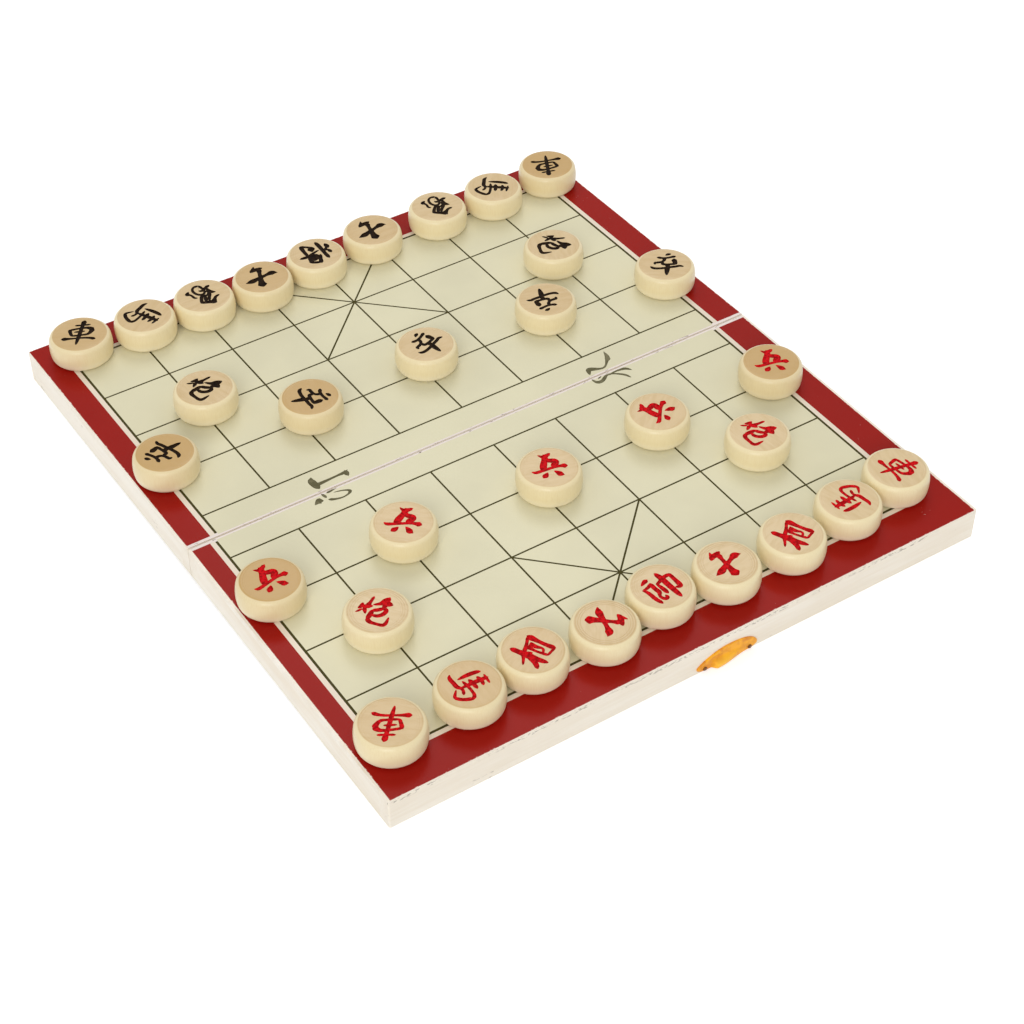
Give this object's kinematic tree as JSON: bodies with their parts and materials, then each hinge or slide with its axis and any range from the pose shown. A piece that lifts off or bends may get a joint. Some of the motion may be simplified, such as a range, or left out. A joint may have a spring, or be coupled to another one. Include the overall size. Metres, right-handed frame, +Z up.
{
  "type": "folding xiangqi set",
  "caption": "Hinged wooden board of two shallow trays that fold face out, with a printed river grid, a small clasp, and round turned pieces standing on the crossings.",
  "frame": {"origin": "on the table under the middle of the fold, with the board open and lying flat", "axes": "+X along the fold, +Y from the red half to the black half, +Z up"},
  "size_m": [0.27, 0.3052, 0.0266],
  "materials": {
    "board_wood": "bare sanded poplar",
    "red_print": "glossy laminated paper",
    "black_print": "glossy laminated paper",
    "hinge_metal": "brass plated",
    "clasp_metal": "lacquered brass",
    "nail_metal": "dark",
    "red_piece": "turned, waxed",
    "black_piece": "turned, waxed"
  },
  "bodies": {
    "red_tray": {"red_panel": "board_wood", "red_left_wall": "board_wood", "red_right_wall": "board_wood", "red_seam_wall": "board_wood", "red_front_wall": "board_wood", "red_sheet": "red_print", "red_hinge_nails": "hinge_metal", "left_hinge_red_leaf": "hinge_metal", "right_hinge_red_leaf": "hinge_metal", "left_hinge_pin": "hinge_metal", "right_hinge_pin": "hinge_metal", "catch_plate": "clasp_metal", "catch_nails": "nail_metal"},
    "black_tray": {"black_panel": "board_wood", "black_left_wall": "board_wood", "black_right_wall": "board_wood", "black_seam_wall": "board_wood", "black_back_wall": "board_wood", "black_sheet": "black_print", "black_hinge_nails": "hinge_metal", "left_hinge_black_leaf": "hinge_metal", "right_hinge_black_leaf": "hinge_metal", "hasp_plate": "clasp_metal", "hasp_pin": "clasp_metal", "hasp_nails": "nail_metal"},
    "flap": {"hasp_flap": "clasp_metal"},
    "red_left_chariot": {"red_left_chariot": "red_piece"},
    "red_left_horse": {"red_left_horse": "red_piece"},
    "red_left_minister": {"red_left_minister": "red_piece"},
    "red_left_advisor": {"red_left_advisor": "red_piece"},
    "red_left_cannon": {"red_left_cannon": "red_piece"},
    "red_right_chariot": {"red_right_chariot": "red_piece"},
    "red_right_horse": {"red_right_horse": "red_piece"},
    "red_right_minister": {"red_right_minister": "red_piece"},
    "red_right_advisor": {"red_right_advisor": "red_piece"},
    "red_right_cannon": {"red_right_cannon": "red_piece"},
    "red_general": {"red_general": "red_piece"},
    "red_soldier_1": {"red_soldier_1": "red_piece"},
    "red_soldier_2": {"red_soldier_2": "red_piece"},
    "red_soldier_3": {"red_soldier_3": "red_piece"},
    "red_soldier_4": {"red_soldier_4": "red_piece"},
    "red_soldier_5": {"red_soldier_5": "red_piece"},
    "black_left_chariot": {"black_left_chariot": "black_piece"},
    "black_left_horse": {"black_left_horse": "black_piece"},
    "black_left_elephant": {"black_left_elephant": "black_piece"},
    "black_left_advisor": {"black_left_advisor": "black_piece"},
    "black_left_cannon": {"black_left_cannon": "black_piece"},
    "black_right_chariot": {"black_right_chariot": "black_piece"},
    "black_right_horse": {"black_right_horse": "black_piece"},
    "black_right_elephant": {"black_right_elephant": "black_piece"},
    "black_right_advisor": {"black_right_advisor": "black_piece"},
    "black_right_cannon": {"black_right_cannon": "black_piece"},
    "black_general": {"black_general": "black_piece"},
    "black_soldier_1": {"black_soldier_1": "black_piece"},
    "black_soldier_2": {"black_soldier_2": "black_piece"},
    "black_soldier_3": {"black_soldier_3": "black_piece"},
    "black_soldier_4": {"black_soldier_4": "black_piece"},
    "black_soldier_5": {"black_soldier_5": "black_piece"}
  },
  "joints": [
    {"name": "fold", "type": "hinge", "parent": "red_tray", "child": "black_tray", "pos_m": [0, 0, 0.0015], "axis": [-1, 0, 0], "range_deg": [-1.14, 178.85]},
    {"name": "hasp_flap", "type": "hinge", "parent": "black_tray", "child": "flap", "pos_m": [0.012, 0.15141, 0.00129], "axis": [-1, 0, 0], "range_deg": [0, 175]},
    {"name": "lift_red_left_chariot", "type": "slide", "parent": "red_tray", "child": "red_left_chariot", "axis": [0, -0.01, 1], "range_m": [0, 0.05]},
    {"name": "lift_red_left_horse", "type": "slide", "parent": "red_tray", "child": "red_left_horse", "axis": [0, -0.01, 1], "range_m": [0, 0.05]},
    {"name": "lift_red_left_minister", "type": "slide", "parent": "red_tray", "child": "red_left_minister", "axis": [0, -0.01, 1], "range_m": [0, 0.05]},
    {"name": "lift_red_left_advisor", "type": "slide", "parent": "red_tray", "child": "red_left_advisor", "axis": [0, -0.01, 1], "range_m": [0, 0.05]},
    {"name": "lift_red_left_cannon", "type": "slide", "parent": "red_tray", "child": "red_left_cannon", "axis": [0, -0.01, 1], "range_m": [0, 0.05]},
    {"name": "lift_red_right_chariot", "type": "slide", "parent": "red_tray", "child": "red_right_chariot", "axis": [0, -0.01, 1], "range_m": [0, 0.05]},
    {"name": "lift_red_right_horse", "type": "slide", "parent": "red_tray", "child": "red_right_horse", "axis": [0, -0.01, 1], "range_m": [0, 0.05]},
    {"name": "lift_red_right_minister", "type": "slide", "parent": "red_tray", "child": "red_right_minister", "axis": [0, -0.01, 1], "range_m": [0, 0.05]},
    {"name": "lift_red_right_advisor", "type": "slide", "parent": "red_tray", "child": "red_right_advisor", "axis": [0, -0.01, 1], "range_m": [0, 0.05]},
    {"name": "lift_red_right_cannon", "type": "slide", "parent": "red_tray", "child": "red_right_cannon", "axis": [0, -0.01, 1], "range_m": [0, 0.05]},
    {"name": "lift_red_general", "type": "slide", "parent": "red_tray", "child": "red_general", "axis": [0, -0.01, 1], "range_m": [0, 0.05]},
    {"name": "lift_red_soldier_1", "type": "slide", "parent": "red_tray", "child": "red_soldier_1", "axis": [0, -0.01, 1], "range_m": [0, 0.05]},
    {"name": "lift_red_soldier_2", "type": "slide", "parent": "red_tray", "child": "red_soldier_2", "axis": [0, -0.01, 1], "range_m": [0, 0.05]},
    {"name": "lift_red_soldier_3", "type": "slide", "parent": "red_tray", "child": "red_soldier_3", "axis": [0, -0.01, 1], "range_m": [0, 0.05]},
    {"name": "lift_red_soldier_4", "type": "slide", "parent": "red_tray", "child": "red_soldier_4", "axis": [0, -0.01, 1], "range_m": [0, 0.05]},
    {"name": "lift_red_soldier_5", "type": "slide", "parent": "red_tray", "child": "red_soldier_5", "axis": [0, -0.01, 1], "range_m": [0, 0.05]},
    {"name": "lift_black_left_chariot", "type": "slide", "parent": "black_tray", "child": "black_left_chariot", "axis": [0, 0.01, 1], "range_m": [0, 0.05]},
    {"name": "lift_black_left_horse", "type": "slide", "parent": "black_tray", "child": "black_left_horse", "axis": [0, 0.01, 1], "range_m": [0, 0.05]},
    {"name": "lift_black_left_elephant", "type": "slide", "parent": "black_tray", "child": "black_left_elephant", "axis": [0, 0.01, 1], "range_m": [0, 0.05]},
    {"name": "lift_black_left_advisor", "type": "slide", "parent": "black_tray", "child": "black_left_advisor", "axis": [0, 0.01, 1], "range_m": [0, 0.05]},
    {"name": "lift_black_left_cannon", "type": "slide", "parent": "black_tray", "child": "black_left_cannon", "axis": [0, 0.01, 1], "range_m": [0, 0.05]},
    {"name": "lift_black_right_chariot", "type": "slide", "parent": "black_tray", "child": "black_right_chariot", "axis": [0, 0.01, 1], "range_m": [0, 0.05]},
    {"name": "lift_black_right_horse", "type": "slide", "parent": "black_tray", "child": "black_right_horse", "axis": [0, 0.01, 1], "range_m": [0, 0.05]},
    {"name": "lift_black_right_elephant", "type": "slide", "parent": "black_tray", "child": "black_right_elephant", "axis": [0, 0.01, 1], "range_m": [0, 0.05]},
    {"name": "lift_black_right_advisor", "type": "slide", "parent": "black_tray", "child": "black_right_advisor", "axis": [0, 0.01, 1], "range_m": [0, 0.05]},
    {"name": "lift_black_right_cannon", "type": "slide", "parent": "black_tray", "child": "black_right_cannon", "axis": [0, 0.01, 1], "range_m": [0, 0.05]},
    {"name": "lift_black_general", "type": "slide", "parent": "black_tray", "child": "black_general", "axis": [0, 0.01, 1], "range_m": [0, 0.05]},
    {"name": "lift_black_soldier_1", "type": "slide", "parent": "black_tray", "child": "black_soldier_1", "axis": [0, 0.01, 1], "range_m": [0, 0.05]},
    {"name": "lift_black_soldier_2", "type": "slide", "parent": "black_tray", "child": "black_soldier_2", "axis": [0, 0.01, 1], "range_m": [0, 0.05]},
    {"name": "lift_black_soldier_3", "type": "slide", "parent": "black_tray", "child": "black_soldier_3", "axis": [0, 0.01, 1], "range_m": [0, 0.05]},
    {"name": "lift_black_soldier_4", "type": "slide", "parent": "black_tray", "child": "black_soldier_4", "axis": [0, 0.01, 1], "range_m": [0, 0.05]},
    {"name": "lift_black_soldier_5", "type": "slide", "parent": "black_tray", "child": "black_soldier_5", "axis": [0, 0.01, 1], "range_m": [0, 0.05]}
  ]
}
